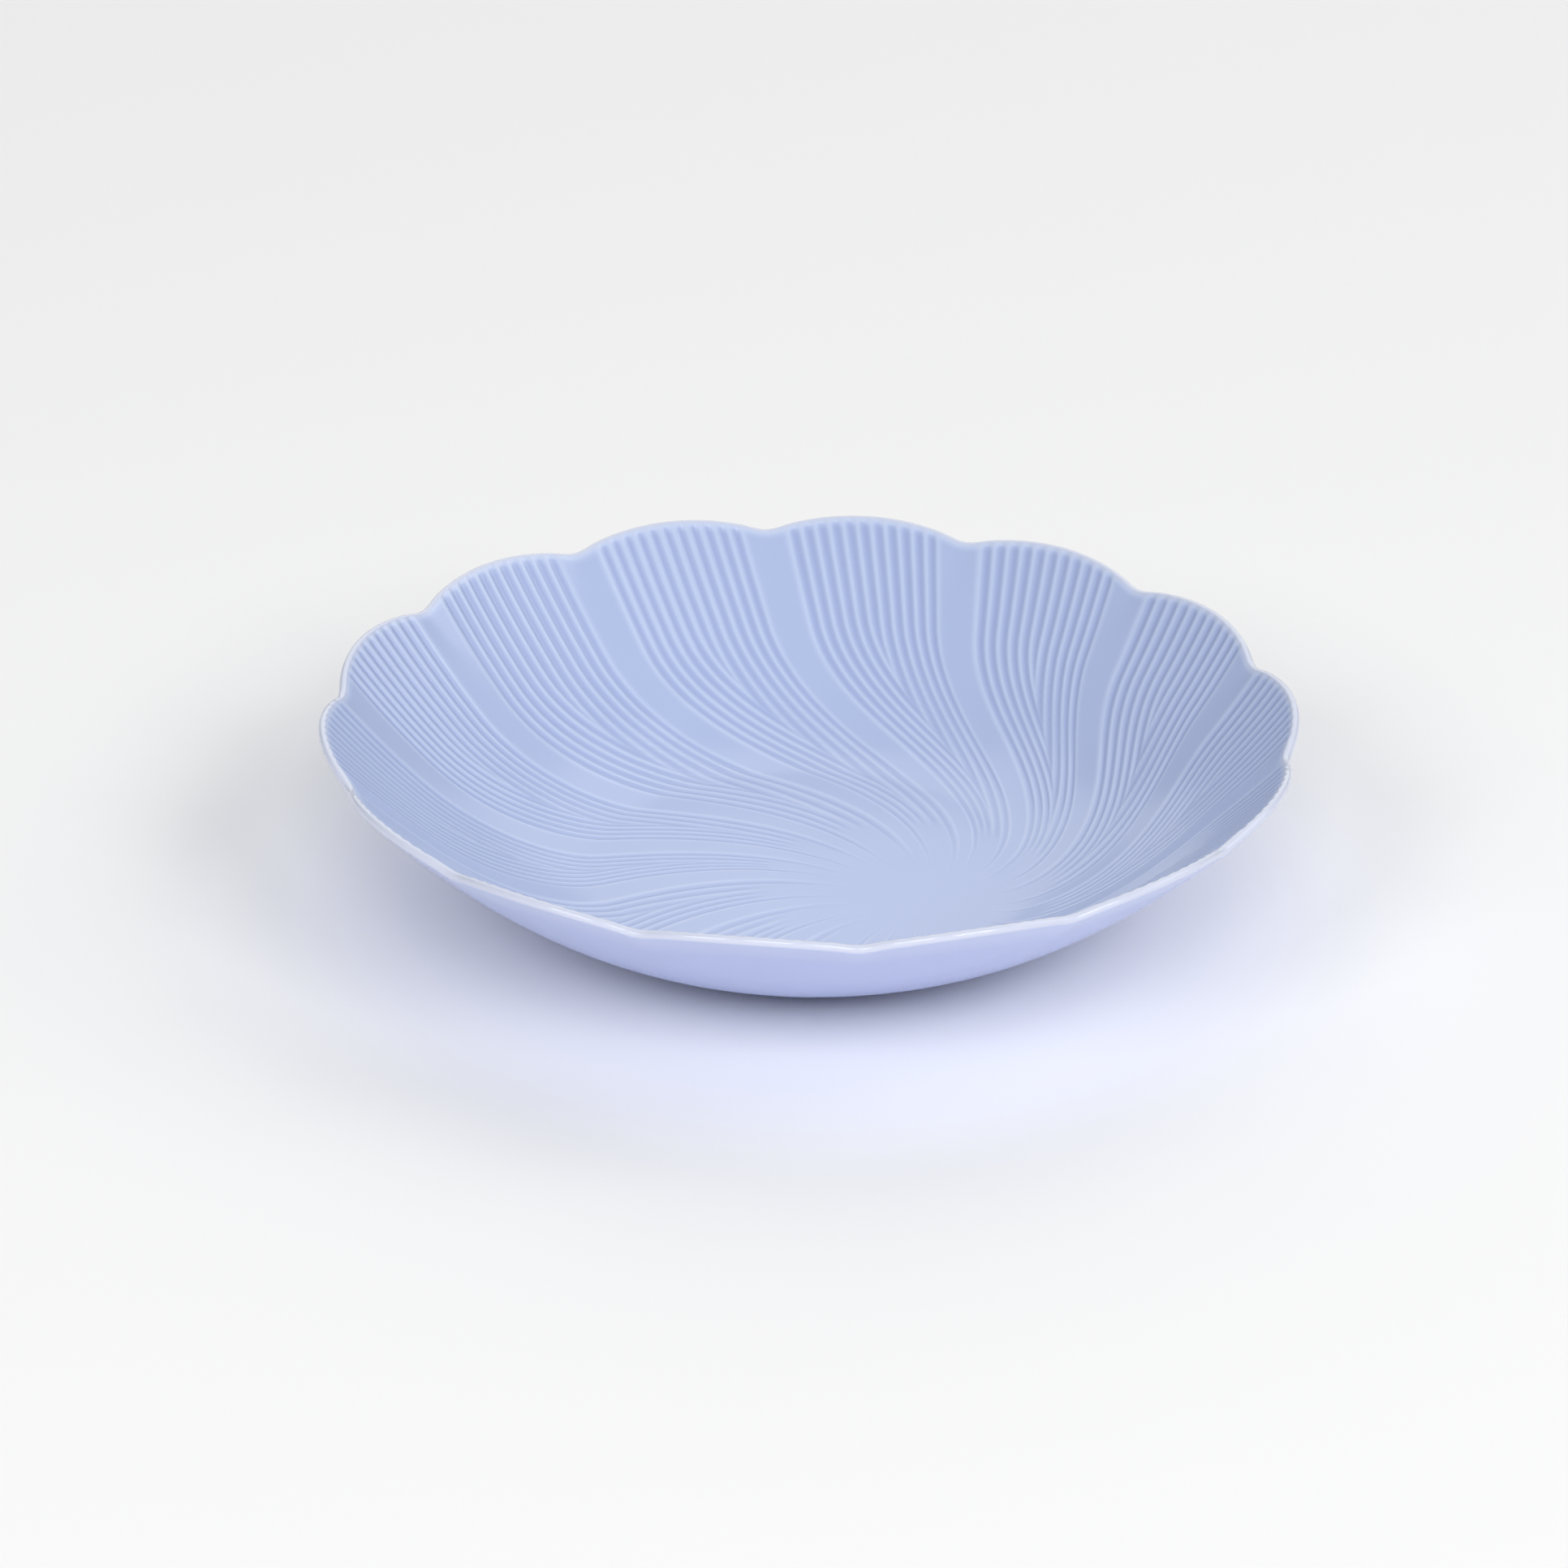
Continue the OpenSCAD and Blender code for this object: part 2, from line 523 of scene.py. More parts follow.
@dataclass(frozen=True)
class SwirlFlutes:
    """The swirl of flutes in the face: lines from the rim that wind into an eye off the centre.

    Attributes:
        form: The plate that they are pressed into.
        eye: Where the lines meet, seen from above.
        turn: How far the lines wind round the eye.
        turn_from: Where along a line the winding starts, counted from the eye.
        drawn: How much further the line from each notch winds, in degrees, as if drawn by hand.
        start_swing: How far the lines start beside their places round the lip, at most.
        start_at: Angle round the plate at which they start furthest ahead.
        band: Share of a lobe that stays plain on each side of it, at the lip.
        band_growth: How much that share grows down the wall, before and after the flutes.
        band_runs: Where along a line it starts to grow and where it has grown, counted from the eye.
        band_columns: Share of a lobe's columns that this plain strip gets.
        flutes: Number of flutes in a lobe at the rim.
        thin_from: Where along a line the flutes start to run together, counted from the eye.
        thin_to: Where they have done so.
        kept: Number of flutes that are left then, before and after the seam where they meet.
        seam_blend: Share of a lobe over which the two sides blend at the seam.
        ridge_glaze: Thickness of the glaze on the ridge between a plain strip and the flutes.
        ridge_run: Share of the strip over which it thickens from there.
        depth: Depth of a flute near the rim.
        narrow_power: Power by which a flute gets shallower as its lobe narrows.
        floor_depth: Share of the depth that is left on the floor.
        floor_runs: Where along a line that is so, and where the depth is still whole.
        edge_depth: Share of the depth that is left where the face meets the lip.
        edge_glaze: Thickness of the glaze there.
        edge_run: Length over which the flutes and the glaze deepen from the lip.
        outer_end: Where along its line the outermost flute of a lobe is gone, counted from the eye.
        outer_fade: Length over which it fades out.
        inner_end: Where the other flutes are gone.
        inner_fade: Length over which they do.
    """

    form: PlateForm
    eye: Plan = (0.02856, -0.01837)
    turn: float = math.radians(39.45)
    turn_from: float = 0.847
    drawn: tuple[float, ...] = (9, 1.5, 2.2, 2.4, -3, -11.6, -9.8, -2.4, -4.1, -6.2, -11.5, -4, 6, 16)
    start_swing: float = math.radians(1.09)
    start_at: float = math.radians(24.8)
    band: float = 0.115
    band_growth: tuple[float, float] = (0.06, 0.02)
    band_runs: tuple[float, float] = (0.8, 0.5)
    band_columns: float = 0.0833
    flutes: int = 11
    thin_from: float = 0.86
    thin_to: float = 0.35
    kept: tuple[float, float] = (2.2, 2.9)
    seam_blend: float = 0.02
    ridge_glaze: float = 0.36
    ridge_run: float = 0.3
    depth: float = 0.0004
    narrow_power: float = 0.55
    floor_depth: float = 0.62
    floor_runs: tuple[float, float] = (0.35, 0.8)
    edge_depth: float = 0.4
    edge_glaze: float = 0.17
    edge_run: float = 0.0014
    outer_end: float = 0.1
    outer_fade: float = 0.24
    inner_end: float = 0.28
    inner_fade: float = 0.06

    @lru_cache(maxsize=None)
    def line(self, lobe: int, share: float) -> Line:
        """Finds a line of the swirl.

        Args:
            lobe: Number of its lobe.
            share: Share of the lobe that lies before it.

        Returns:
            The line.
        """
        even = self.form.notch_turn + (lobe + share) * self.form.pitch
        angle = even + self.start_swing * math.cos(even - self.start_at)
        edge = self.form.lip_point(angle, TAU / 4)
        dx, dy = edge.x - self.eye[0], edge.y - self.eye[1]
        one, two = (self.drawn[notch % self.form.lobes] for notch in (lobe, lobe + 1))
        extra = math.radians(between(one, two, ease(0, 1, share)))
        return Line(angle, lobe, share, math.atan2(dy, dx), extra, math.hypot(dx, dy))

    @lru_cache(maxsize=None)
    def column(self, turn: float) -> Line:
        """Finds the line for a column of a blank.

        The columns are crowded into the fluted part of each lobe.

        Args:
            turn: Angle round the blank, whose columns are evenly spread.

        Returns:
            The line.
        """
        lobes = turn / self.form.pitch
        lobe = math.floor(lobes + NEAR)
        share = lobes - lobe
        strip = self.band_columns
        if share < strip:
            place = share / strip * self.band
        elif share > 1 - strip:
            place = 1 - (1 - share) / strip * self.band
        else:
            place = between(self.band, 1 - self.band, (share - strip) / (1 - 2 * strip))
        return self.line(lobe, place)

    def place(self, line: Line, run: float) -> Plan:
        """Follows a line.

        Args:
            line: The line.
            run: 1 at the lip and 0 in the eye.

        Returns:
            The place on the line, seen from above.
        """
        heading = line.heading - self.turn * ease(self.turn_from, 0.0, run) - line.extra * (1 - run)
        reach = run * line.reach
        return self.eye[0] + reach * math.cos(heading), self.eye[1] + reach * math.sin(heading)

    def breadth(self, lobe: int, run: float) -> float:
        """Breadth of a lobe across its lines.

        Args:
            lobe: The lobe's number.
            run: Place along its lines, 1 at the lip.

        Returns:
            The breadth, in metres.
        """
        one, two = (self.place(self.line(lobe, share), run) for share in (0.0, 1.0))
        middle = self.line(lobe, 0.5)
        here, ahead = self.place(middle, run), self.place(middle, run - LINE_STEP)
        along = ahead[0] - here[0], ahead[1] - here[1]
        across = (two[0] - one[0]) * along[1] - (two[1] - one[1]) * along[0]
        return abs(across) / math.hypot(*along)

    @lru_cache(maxsize=None)
    def narrowing(self, lobe: int, run: float) -> float:
        """Breadth of a lobe as a share of its breadth at the lip, 1 at most."""
        return min(1.0, self.breadth(lobe, run) / self.breadth(lobe, 1.0))

    def relief(self, line: Line, run: float) -> tuple[float, float]:
        """Works out the relief of the face at a place on a line.

        Args:
            line: The line.
            run: Place along the line, 1 at the lip.

        Returns:
            How far the face is sunk there, and how thick the glaze lies.
        """
        share = line.share
        opened = ease(0.0, self.edge_run, (1 - run) * line.reach)
        grown = ease(*self.band_runs, run)
        before, after = (self.band + growth * grown for growth in self.band_growth)
        lasting = ease(self.outer_end, self.outer_end + self.outer_fade, run)
        if not before < share < 1 - after:
            plain = 1 - (share / before if share < 0.5 else (1 - share) / after)
            ridge = between(self.ridge_glaze, GLAZE_EVEN, ease(0.0, self.ridge_run, plain))
            return 0.0, between(self.edge_glaze, between(GLAZE_EVEN, ridge, lasting), opened)
        half = (1 - before - after) / 2
        thinned = ease(self.thin_from, self.thin_to, run)
        rising, falling = (between(self.flutes / 2, kept, thinned) / half for kept in self.kept)
        rising, falling = rising * (share - before), falling * (1 - after - share)
        side = ease(-self.seam_blend, self.seam_blend, share - before - half)
        hollow = 0.5 - 0.5 * between(math.cos(TAU * rising), math.cos(TAU * falling), side)
        narrow = self.narrowing(line.lobe, run)
        if min(rising, falling) > 1:
            lasting = ease(self.inner_end, self.inner_end + self.inner_fade, run)
        lasting *= between(self.floor_depth, 1, ease(*self.floor_runs, run))
        deep = self.depth * narrow**self.narrow_power * lasting
        deep *= between(self.edge_depth, 1, opened)
        glaze = between(GLAZE_EVEN, between(GLAZE_RIDGE, GLAZE_POOL, hollow), lasting)
        return deep * hollow, between(self.edge_glaze, glaze, opened)


class NodeBench:
    """A bench for laying out the nodes of one material or group."""

    def __init__(self, tree: bpy.types.NodeTree) -> None:
        """Takes the tree to work on and empties it."""
        self.tree = tree
        tree.nodes.clear()

    def add(self, kind: str, **settings: object) -> bpy.types.Node:
        """Adds a node.

        Args:
            kind: Type of the node.
            settings: Properties of the node to set.

        Returns:
            The node.
        """
        made = self.tree.nodes.new(kind)
        for key, value in settings.items():
            setattr(made, key, value)
        return made

    def link(self, source: Socket, target: Socket) -> None:
        """Links an output to an input."""
        self.tree.links.new(source, target)

    def feed(self, value: object, target: Socket) -> None:
        """Gives an input its value.

        Args:
            value: A socket to link or a plain value to set.
            target: The input.
        """
        if isinstance(value, Socket):
            self.link(value, target)
        else:
            target.default_value = value

    def surface(self, shader: bpy.types.Node) -> None:
        """Makes a shader the surface of the material."""
        self.link(shader.outputs["BSDF"], self.add("ShaderNodeOutputMaterial").inputs["Surface"])

    def bump(self, shader: bpy.types.Node, height: Socket, depth: float) -> None:
        """Gives a shader a fine relief.

        Args:
            shader: The shader.
            height: The relief's height, from 0 to 1.
            depth: What a height of 1 measures, in metres.
        """
        made = self.add("ShaderNodeBump")
        made.inputs["Distance"].default_value = depth
        self.link(height, made.inputs["Height"])
        self.link(made.outputs["Normal"], shader.inputs["Normal"])

    def math(self, kind: Sum, one: object, two: object) -> Socket:
        """Adds a sum, product or the like of two values.

        Args:
            kind: What the node does.
            one: A socket or a number.
            two: A socket or a number.

        Returns:
            The result's socket.
        """
        made = self.add("ShaderNodeMath", operation=kind.value)
        self.feed(one, made.inputs[0])
        self.feed(two, made.inputs[1])
        return made.outputs[0]

    def noise(self, scale: object, detail: float) -> Socket:
        """Adds a noise on the piece's own coordinates.

        Args:
            scale: A socket or a number of waves per metre.
            detail: Number of finer layers.

        Returns:
            The noise's value, from 0 to 1.
        """
        place = self.add("ShaderNodeTexCoord")
        made = self.add("ShaderNodeTexNoise")
        self.link(place.outputs["Object"], made.inputs["Vector"])
        made.inputs["Detail"].default_value = detail
        self.feed(scale, made.inputs["Scale"])
        return made.outputs["Fac"]

    def carried(self, layer: Layer) -> Socket:
        """Reads a value that the mesh carries on its points."""
        return self.add("ShaderNodeAttribute", attribute_name=layer.value).outputs["Fac"]

    def ramp(self, value: Socket, stops: Stops) -> Socket:
        """Turns a value into a colour.

        Args:
            value: The value's socket.
            stops: Places from 0 to 1 and their colours, in order.

        Returns:
            The colour's socket.
        """
        made = self.add("ShaderNodeValToRGB")
        marks = made.color_ramp.elements
        while len(marks) < len(stops):
            marks.new(1.0)
        for mark, (place, colour) in zip(marks, stops):
            mark.position = place
            mark.color = colour
        self.link(value, made.inputs["Fac"])
        return made.outputs["Color"]

    def mix(self, share: Socket, one: object, two: object, kind: Mixed) -> Socket:
        """Mixes two colours or two numbers by a share.

        Args:
            share: The share's socket.
            one: A socket or a value, at a share of 0.
            two: A socket or a value, at a share of 1.
            kind: What they are.

        Returns:
            The mixture's socket.
        """
        made = self.add("ShaderNodeMix", data_type=kind.value)
        # The node has a set of sockets for each kind, and only those of its own kind are in use.
        first, result = (6, 2) if kind is Mixed.COLOUR else (2, 0)
        self.link(share, made.inputs[0])
        self.feed(one, made.inputs[first])
        self.feed(two, made.inputs[first + 1])
        return made.outputs[result]


@lru_cache(maxsize=None)
def glaze_flow() -> bpy.types.NodeTree:
    """Makes the node group for how a glaze flows: cloudy thickness, faint ripples, uneven gloss.

    Returns:
        The group, with inputs for the thickness and the size and strength of the clouds.
    """
    group = bpy.data.node_groups.new("glaze_flow", "ShaderNodeTree")
    for name, way in (
        ("Depth", "INPUT"),
        ("Cloud Scale", "INPUT"),
        ("Cloud Amount", "INPUT"),
        ("Depth", "OUTPUT"),
        ("Ripple", "OUTPUT"),
        ("Gloss", "OUTPUT"),
    ):
        group.interface.new_socket(name, in_out=way, socket_type="NodeSocketFloat")
    bench = NodeBench(group)
    given = bench.add("NodeGroupInput")
    result = bench.add("NodeGroupOutput")
    cloud = bench.math(Sum.SUBTRACT, bench.noise(given.outputs["Cloud Scale"], CLOUD_LAYERS), 0.5)
    cloud = bench.math(Sum.MULTIPLY, cloud, given.outputs["Cloud Amount"])
    bench.link(bench.math(Sum.ADD, given.outputs["Depth"], cloud), result.inputs["Depth"])
    fine = bench.math(Sum.MULTIPLY, bench.noise(*FINE_RIPPLE), FINE_RIPPLE_SHARE)
    bench.link(bench.math(Sum.ADD, bench.noise(*RIPPLE), fine), result.inputs["Ripple"])
    bench.link(bench.noise(*GLOSS_PATCHES), result.inputs["Gloss"])
    return group


@dataclass(frozen=True)
class GlazeFinish:
    """A glossy coloured glaze, paler where it runs thin and deeper where it pools.

    Attributes:
        name: Name of the material.
        thin: Colour over an edge, where the white body shows through.
        crest: Colour on a ridge.
        even: Colour of a plain surface.
        pool: Colour in a hollow.
        cloud_scale: Clouds per metre in the glaze's thickness.
        cloud_amount: How much they change it.
        gloss: Roughness, least and most.
        ripple_depth: Height of the ripples on its surface.
    """

    name: str
    thin: str
    crest: str
    even: str
    pool: str
    cloud_scale: float = 70.0
    cloud_amount: float = 0.05
    gloss: tuple[float, float] = (0.16, 0.26)
    ripple_depth: float = 0.00002

    def stops(self) -> Stops:
        """Sets out the colours by the thickness of the glaze.

        Returns:
            The thicknesses and their colours, from thin to thick.
        """
        places = (GLAZE_THIN, GLAZE_RIDGE, GLAZE_EVEN, GLAZE_POOL)
        colours = (self.thin, self.crest, self.even, self.pool)
        return [(place, linear(colour)) for place, colour in zip(places, colours)]

    def flow(self, bench: NodeBench) -> bpy.types.Node:
        """Places the glaze's flow on a bench and feeds it the piece's thickness.

        Args:
            bench: The bench of the material.

        Returns:
            The group's node.
        """
        flow = bench.add("ShaderNodeGroup", node_tree=glaze_flow())
        bench.link(bench.carried(Layer.GLAZE), flow.inputs["Depth"])
        flow.inputs["Cloud Scale"].default_value = self.cloud_scale
        flow.inputs["Cloud Amount"].default_value = self.cloud_amount
        return flow

    def material(self) -> bpy.types.Material:
        """Makes the material.

        Returns:
            A material that reads the glaze's thickness from the mesh.
        """
        made = bpy.data.materials.new(self.name)
        made.use_nodes = True
        bench = NodeBench(made.node_tree)
        flow = self.flow(bench)
        shader = bench.add("ShaderNodeBsdfPrincipled")
        bench.link(bench.ramp(flow.outputs["Depth"], self.stops()), shader.inputs["Base Color"])
        rough = bench.mix(flow.outputs["Gloss"], *self.gloss, Mixed.NUMBER)
        bench.link(rough, shader.inputs["Roughness"])
        bench.bump(shader, flow.outputs["Ripple"], self.ripple_depth)
        shader.inputs["IOR"].default_value = GLAZE_IOR
        bench.surface(shader)
        return made


@dataclass(frozen=True)
class ClayFinish:
    """White fired clay that is bare on the foot, and thinly glazed over the lip.

    Attributes:
        name: Name of the material.
        face: Glaze of the face, which runs over the lip from one side.
        back: Glaze of the back, which runs over it from the other.
        clay: Colour of the bare clay.
        stain: Colour of the fine specks and rubbed places in it.
        gloss: Roughness of the glaze over the lip, least and most.
        bare_rough: Roughness of the bare clay.
        grain: Waves per metre in its grain, and number of finer layers.
        grain_depth: Height of the grain.
        rubbed: Waves per metre of the rubbed places, and number of finer layers.
        stain_to: Product of the two noises up to which the clay has the colour of the stain.
        clay_from: Product from which it has its own.
    """

    name: str
    face: GlazeFinish
    back: GlazeFinish
    clay: str
    stain: str
    gloss: tuple[float, float] = (0.07, 0.13)
    bare_rough: float = 0.82
    grain: tuple[float, float] = (2600.0, 3.0)
    grain_depth: float = 0.00006
    rubbed: tuple[float, float] = (140.0, 4.0)
    stain_to: float = 0.1
    clay_from: float = 0.34

    def material(self) -> bpy.types.Material:
        """Makes the material.

        Returns:
            A material that reads from the mesh where the clay is bare.
        """
        made = bpy.data.materials.new(self.name)
        made.use_nodes = True
        bench = NodeBench(made.node_tree)
        flow = self.face.flow(bench)
        bare = bench.carried(Layer.BARE)
        inner = bench.ramp(flow.outputs["Depth"], self.face.stops())
        outer = bench.ramp(flow.outputs["Depth"], self.back.stops())
        glazed = bench.mix(bench.carried(Layer.OUTER), inner, outer, Mixed.COLOUR)
        grain = bench.noise(*self.grain)
        rubbed = bench.math(Sum.MULTIPLY, bench.noise(*self.rubbed), grain)
        tints = [(self.stain_to, linear(self.stain)), (self.clay_from, linear(self.clay))]
        shader = bench.add("ShaderNodeBsdfPrincipled")
        colour = bench.mix(bare, glazed, bench.ramp(rubbed, tints), Mixed.COLOUR)
        bench.link(colour, shader.inputs["Base Color"])
        gloss = bench.mix(flow.outputs["Gloss"], *self.gloss, Mixed.NUMBER)
        rough = bench.mix(bare, gloss, self.bare_rough, Mixed.NUMBER)
        bench.link(rough, shader.inputs["Roughness"])
        bench.bump(shader, bench.math(Sum.MULTIPLY, grain, bare), self.grain_depth)
        shader.inputs["IOR"].default_value = GLAZE_IOR
        bench.surface(shader)
        return made


def settle(made: bpy.types.Object, node: Node, finish: bpy.types.Material) -> None:
    """Dresses a piece, seats it on the body in place of its node and reports it.

    Args:
        made: The piece.
        node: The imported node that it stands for.
        finish: Its material.
    """
    made.data.materials.append(finish)
    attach(made, BODY)
    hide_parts(node.value)
    LOG.info("%s: %d points, %d faces", made.name, len(made.data.vertices), len(made.data.polygons))


@dataclass(frozen=True)
class Underlay:
    """The smooth bed between the fluted face and the body, deeper than any flute.

    Attributes:
        form: The plate.
        depth: How far the bed lies under the face.
        shares: Radii of its rings from the centre outwards, as shares of the outline's.
    """

    form: PlateForm
    depth: float = 0.0011
    shares: tuple[float, ...] = (0.41, 0.455, 0.51, 0.57, 0.64, 0.72, 0.81, 0.905, 1.0)

    def spot(self, angle: float, share: float) -> Spot:
        """Places a spot of the bed at an angle and a share of the outline's radius."""
        radius = self.form.outline_r(angle) * share
        return Spot(self.form.wall_point(angle, radius, self.form.wall_t(radius) / 2 - self.depth))

    def rings(self, flutes: SwirlFlutes) -> list[Ring]:
        """Makes the rings of the bed.

        Args:
            flutes: The swirl whose lines the columns of the blank follow.

        Returns:
            The rings from the centre to the lip, where the surface breaks.
        """
        return [
            Ring(
                lambda turn, share=share: self.spot(flutes.column(turn).angle, share),
                pole=share == 0.0,
                crisp=share == 1.0,
            )
            for share in (0.0, *self.shares)
        ]


@dataclass
class SwirledFace:
    """The fluted coat of glaze over the inside of the bowl.

    Attributes:
        form: The plate.
        flutes: Its swirl of flutes.
        bed: What the coat lies on.
        lobe_columns: Columns of the mesh in each lobe.
        rim_runs: Places of the rings near the lip, along the lines.
        even_rings: Number of rings from there to the eye.
    """

    form: PlateForm
    flutes: SwirlFlutes
    bed: Underlay
    lobe_columns: int = 96
    rim_runs: tuple[float, ...] = (1.0, 0.9975, 0.9935, 0.988, 0.981, 0.973)
    even_rings: int = 50

    def face_ring(self, run: float) -> Ring:
        """Makes a ring of the fluted surface.

        Args:
            run: Place along the lines of the swirl, 1 at the lip.

        Returns:
            The ring, which breaks the surface at the lip.
        """

        def place(turn: float) -> Spot:
            """Places a spot of the ring."""
            line = self.flutes.column(turn)
            sunk, glaze = self.flutes.relief(line, run)
            return Spot(self.form.face_point(self.flutes.place(line, run), sunk), glaze)

        return Ring(place, crisp=run == 1.0)

    def eye_spot(self, turn: float) -> Spot:
        """Places the eye of the swirl."""
        return Spot(self.form.face_point(self.flutes.eye, 0.0), GLAZE_EVEN)

    def build(self) -> bpy.types.Object:
        """Builds the coat as one closed shell.

        Returns:
            The piece.
        """
        last = self.rim_runs[-1]
        even = [last * (1 - step / self.even_rings) for step in range(1, self.even_rings)]
        top = [self.face_ring(run) for run in (*self.rim_runs, *even)]
        under = self.bed.rings(self.flutes)
        rings = [Ring(self.eye_spot, pole=True), *reversed(top), *reversed(under)]
        return Blank("swirled_face", self.form.lobes * self.lobe_columns, rings).piece()


@dataclass
class ClayBody:
    """The white body: its bed under the face, the rounded lip, and the foot ring.

    Attributes:
        form: The plate.
        flutes: The flutes that run out over the lip.
        bed: What the face lies on.
        lobe_columns: Columns of the mesh in each lobe.
        lip_turns: Degrees round the lip from its crown, for half of the lip's rings.
        carved_from: Share of the turn from the crown to the face at which the flutes start.
        face_from: Share of it at which the face's glaze starts to thicken.
        back_from: Share of the turn to the back at which the back's glaze does.
        back_shares: Places of the rings under the coat on the back, from its foot to the lip.
        bare_share: Share of the way up the back to which the clay counts as bare.
    """

    form: PlateForm
    flutes: SwirlFlutes
    bed: Underlay
    lobe_columns: int = 96
    lip_turns: tuple[float, ...] = (90, 87, 81, 73, 63, 52, 40, 27, 13)
    carved_from: float = 0.2
    face_from: float = 0.45
    back_from: float = 0.4
    back_shares: tuple[float, ...] = (0.0, 0.08, 0.2, 0.35, 0.52, 0.7, 0.86, 1.0)
    bare_share: float = 0.3

    def lip_ring(self, degrees: float) -> Ring:
        """Makes a ring of the lip.

        Args:
            degrees: Degrees from the lip's crown, positive on the face.

        Returns:
            The ring, on which the flutes and the colour run out towards the crown.
        """
        inner = max(0.0, degrees / 90)
        outer = max(0.0, -degrees / 90)

        def place(turn: float) -> Spot:
            """Places a spot of the ring."""
            line = self.flutes.column(turn)
            sunk, glaze = self.flutes.relief(line, 1.0)
            sunk *= ease(self.carved_from, 1.0, inner)
            glaze *= ease(self.face_from, 1.0, inner)
            glaze += GLAZE_RIDGE * ease(self.back_from, 1.0, outer)
            point = self.form.lip_point(line.angle, math.radians(degrees), sunk)
            return Spot(point, glaze, outer=1.0 if outer else 0.0)

        return Ring(place, crisp=abs(degrees) == 90)

    def back_ring(self, share: float) -> Ring:
        """Makes a ring of the body under the coat on the back.

        Args:
            share: 0 at the foot of that coat and 1 at the lip.

        Returns:
            The ring.
        """

        def place(turn: float) -> Spot:
            """Places a spot of the ring."""
            angle = self.flutes.column(turn).angle
            radius = between(self.form.back_r, self.form.outline_r(angle), share)
            off = self.form.glaze_t - self.form.wall_t(radius) / 2
            point = self.form.wall_point(angle, radius, off)
            return Spot(point, outer=1.0, bare=ease(self.bare_share, 0.0, share))

        return Ring(place, crisp=share == 1.0)

    def bare_ring(
        self, radius: float, height: float, crisp: bool = False, round_over: float = 0.0
    ) -> Ring:
        """Makes a round ring of bare clay.

        Args:
            radius: Its radius.
            height: Its height over the table.
            crisp: Whether the surface breaks there.
            round_over: Radius to which its edge is rounded, or 0.

        Returns:
            The ring.
        """

        def place(turn: float) -> Spot:
            """Places a spot of the ring."""
            angle = self.flutes.column(turn).angle
            point = Vector((radius * math.cos(angle), radius * math.sin(angle), height))
            return Spot(point, outer=1.0, bare=1.0)

        return Ring(place, pole=radius == 0.0, crisp=crisp, round_over=round_over)

    def build(self) -> bpy.types.Object:
        """Builds the body as one closed shell.

        Returns:
            The piece.
        """
        form = self.form
        under = self.bed.rings(self.flutes)
        turns = [*self.lip_turns, 0.0, *(-turn for turn in reversed(self.lip_turns))]
        lip = [self.lip_ring(turn) for turn in turns]
        back = [self.back_ring(share) for share in reversed(self.back_shares)]
        foot = [
            self.bare_ring(form.foot_or, form.underside, crisp=True),
            self.bare_ring(form.foot_or, 0.0, round_over=form.foot_bevel),
            self.bare_ring(form.foot_ir, 0.0, round_over=form.foot_bevel),
            self.bare_ring(form.foot_ir, form.underside, crisp=True),
            self.bare_ring(0.0, form.underside),
        ]
        rings = [*under, *lip, *back, *foot]
        return Blank("clay_body", form.lobes * self.lobe_columns, rings).piece()


@dataclass
class BackCoat:
    """The smooth coat of glaze over the outside of the wall.

    Attributes:
        form: The plate.
        lobe_columns: Columns of the mesh in each lobe.
        rings: Number of steps from ring to ring on its outside.
        crowding: Power by which the rings are set closer towards the lip.
        under_rings: Number of steps on its hidden side.
        bead: Rounding of its lower edge, by the foot ring.
        thin_from: Share of the way up at which the glaze starts to thin out towards the lip.
        pool: How much thicker and darker the glaze is at the foot: painted shade under the wall.
        foot_shade_share: Share of the way up to which that painted shade reaches.
    """

    form: PlateForm
    lobe_columns: int = 48
    rings: int = 24
    crowding: float = 0.9
    under_rings: int = 8
    bead: float = 0.00015
    thin_from: float = 0.88
    pool: float = 0.12
    foot_shade_share: float = 0.06

    def coat_ring(self, share: float, under: float) -> Ring:
        """Makes a ring of the coat.

        Args:
            share: 0 at the foot and 1 at the lip.
            under: How far the ring lies under the back of the plate.

        Returns:
            The ring.
        """

        def place(turn: float) -> Spot:
            """Places a spot of the ring."""
            angle = self.form.notch_turn + turn
            radius = between(self.form.back_r, self.form.outline_r(angle), share)
            off = under - self.form.wall_t(radius) / 2
            glaze = between(GLAZE_RIDGE, GLAZE_EVEN, ease(1.0, self.thin_from, share))
            # Painted shade: the glaze is made thicker, and so darker, towards the foot under the wall.
            glaze += self.pool * ease(self.foot_shade_share, 0.0, share)
            return Spot(self.form.wall_point(angle, radius, off), glaze, outer=1.0)

        bead = self.bead if share == 0.0 and under == 0.0 else 0.0
        return Ring(place, crisp=share in (0.0, 1.0) and not bead, round_over=bead)

    def build(self) -> bpy.types.Object:
        """Builds the coat as one closed shell.

        Returns:
            The piece.
        """
        places = [(step / self.rings) ** self.crowding for step in range(self.rings + 1)]
        hidden = [step / self.under_rings for step in range(self.under_rings, -1, -1)]
        outside = [self.coat_ring(share, 0.0) for share in places]
        inside = [self.coat_ring(share, self.form.glaze_t) for share in hidden]
        columns = self.form.lobes * self.lobe_columns
        return Blank("back_coat", columns, [*outside, *inside], hoop=True).piece()


